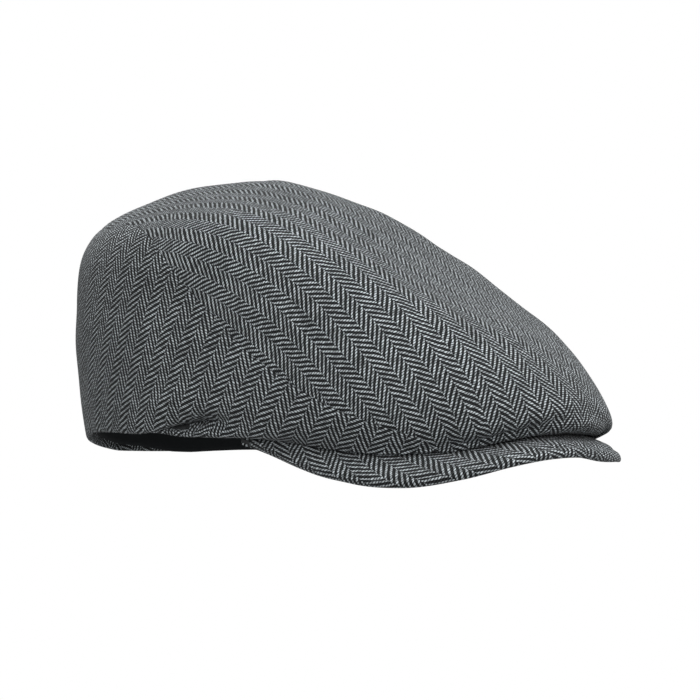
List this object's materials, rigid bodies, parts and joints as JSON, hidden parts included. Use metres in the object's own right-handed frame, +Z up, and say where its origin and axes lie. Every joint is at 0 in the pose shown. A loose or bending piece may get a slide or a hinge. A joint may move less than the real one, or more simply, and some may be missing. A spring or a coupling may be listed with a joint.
{
  "type": "newsboy cap",
  "caption": "Flat duck-bill newsboy cap with a one-piece top panel, side panels, a covered curved peak, lining and an inner sweatband.",
  "frame": {"origin": "middle of the cap's footprint, on the surface that it rests on", "axes": "+Z up, the peak points along -Y, the wearer's right side is -X"},
  "size_m": [0.1786, 0.281, 0.1376],
  "materials": {
    "shell_cloth": "brushed wool, charcoal and light grey herringbone twill",
    "interlining": "plain woven stiffening cloth",
    "lining_cloth": "dark satin",
    "sweatband": "dark ribbed cotton band",
    "peak_board": "smooth flexible board"
  },
  "bodies": {
    "root": {"top_panel": "shell_cloth", "side_panel_right": "shell_cloth", "side_panel_left": "shell_cloth", "top_interlining": "interlining", "side_interlining_right": "interlining", "side_interlining_left": "interlining", "top_lining": "lining_cloth", "side_lining_right": "lining_cloth", "side_lining_left": "lining_cloth", "peak_board": "peak_board", "peak_top_cover": "shell_cloth", "peak_under_cover": "shell_cloth", "rim_tape": "interlining", "sweatband": "sweatband"}
  },
  "joints": []
}
